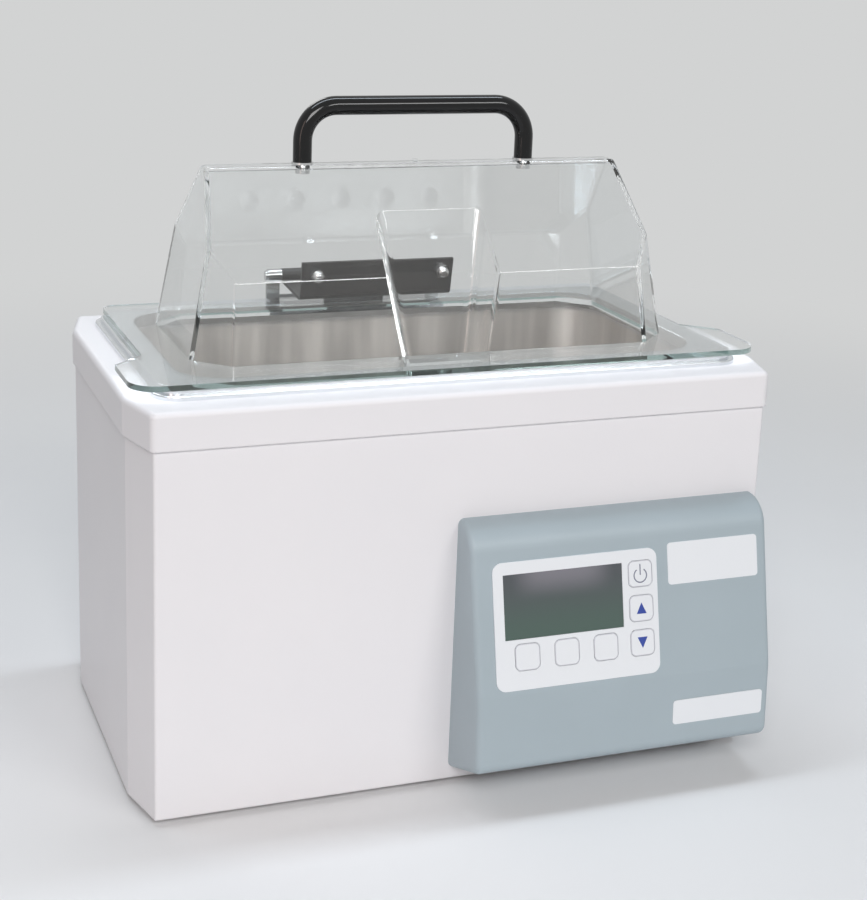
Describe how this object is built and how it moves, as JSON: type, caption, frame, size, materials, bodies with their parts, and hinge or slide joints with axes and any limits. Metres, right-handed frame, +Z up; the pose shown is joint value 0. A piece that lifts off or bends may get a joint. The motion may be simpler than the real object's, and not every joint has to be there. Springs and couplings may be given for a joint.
{
  "type": "laboratory water bath",
  "caption": "White benchtop water bath with a stainless tank, a clear hinged gable lid with a black bar handle, and a grey wedge control panel on its front.",
  "frame": {"origin": "middle of the whole bath's footprint, on the bench under its feet", "axes": "+Z up, +X to the right seen from the front, +Y to the back, so that the control panel faces -Y"},
  "size_m": [0.363, 0.2533, 0.3659],
  "materials": {
    "white_paint": "satin powder coat",
    "deck_paint": "satin powder coat",
    "stainless": "drawn and brushed stainless steel",
    "zinc_steel": "bright zinc plated",
    "clear_plastic": "clear moulded plastic",
    "black_gloss": "gloss black",
    "hinge_dark": "satin dark grey",
    "housing_grey": "fine satin texture",
    "overlay_white": "satin film",
    "key_white": "satin film",
    "label_white": "satin film",
    "display_glass": "glossy grey green",
    "rubber_black": "matt",
    "silicone_red": "matt",
    "black_plastic": "matt",
    "board_green": "satin",
    "wool": "felted mineral wool",
    "aluminium": "extruded",
    "brass_pins": "plated"
  },
  "bodies": {
    "casing": {"body_shell": "white_paint", "base_plate": "white_paint", "rear_panel": "white_paint", "deck_cap": "deck_paint", "tank": "stainless", "tank_gasket": "rubber_black", "tank_brackets": "stainless", "tank_insulation": "wool", "heater_mat": "silicone_red", "limit_thermostat": "aluminium", "temperature_sensor": "stainless", "diffuser_tray": "stainless", "control_housing": "housing_grey", "keypad_overlay": "overlay_white", "display_window": "display_glass", "display_module": "board_green", "control_board": "board_green", "key_switches": "black_plastic", "housing_screws": "zinc_steel", "cable_grommet": "rubber_black", "power_board": "board_green", "solid_state_relay": "black_plastic", "relay_heat_sink": "aluminium", "mains_inlet": "black_plastic", "inlet_pins": "brass_pins", "inlet_screws": "zinc_steel", "rubber_feet": "rubber_black", "foot_screws": "zinc_steel", "rear_panel_screws": "zinc_steel", "upper_label": "label_white", "lower_label": "label_white", "hinge_base_plate": "zinc_steel", "hinge_base_screws": "zinc_steel", "hinge_pin": "zinc_steel"},
    "lid": {"lid_cover": "clear_plastic", "lid_handle": "black_gloss", "handle_washers": "zinc_steel", "handle_screws": "zinc_steel", "hinge_lid_plate": "hinge_dark", "hinge_bolts": "zinc_steel", "hinge_nuts": "zinc_steel"},
    "key_power_cap": {"key_power": "key_white"},
    "key_up_cap": {"key_up": "key_white"},
    "key_down_cap": {"key_down": "key_white"},
    "key_soft_left_cap": {"key_soft_left": "key_white"},
    "key_soft_middle_cap": {"key_soft_middle": "key_white"},
    "key_soft_right_cap": {"key_soft_right": "key_white"}
  },
  "joints": [
    {"name": "lid_hinge", "type": "hinge", "parent": "casing", "child": "lid", "pos_m": [0, 0.11825, 0.2449], "axis": [-1, 0, 0], "range_deg": [0, 100]},
    {"name": "key_power_press", "type": "slide", "parent": "casing", "child": "key_power_cap", "axis": [0, 0.9751, -0.2215], "range_m": [0, 0.0004], "stiffness_N_per_m": 400},
    {"name": "key_up_press", "type": "slide", "parent": "casing", "child": "key_up_cap", "axis": [0, 0.9751, -0.2215], "range_m": [0, 0.0004], "stiffness_N_per_m": 400},
    {"name": "key_down_press", "type": "slide", "parent": "casing", "child": "key_down_cap", "axis": [0, 0.9751, -0.2215], "range_m": [0, 0.0004], "stiffness_N_per_m": 400},
    {"name": "key_soft_left_press", "type": "slide", "parent": "casing", "child": "key_soft_left_cap", "axis": [0, 0.9751, -0.2215], "range_m": [0, 0.0004], "stiffness_N_per_m": 400},
    {"name": "key_soft_middle_press", "type": "slide", "parent": "casing", "child": "key_soft_middle_cap", "axis": [0, 0.9751, -0.2215], "range_m": [0, 0.0004], "stiffness_N_per_m": 400},
    {"name": "key_soft_right_press", "type": "slide", "parent": "casing", "child": "key_soft_right_cap", "axis": [0, 0.9751, -0.2215], "range_m": [0, 0.0004], "stiffness_N_per_m": 400}
  ]
}
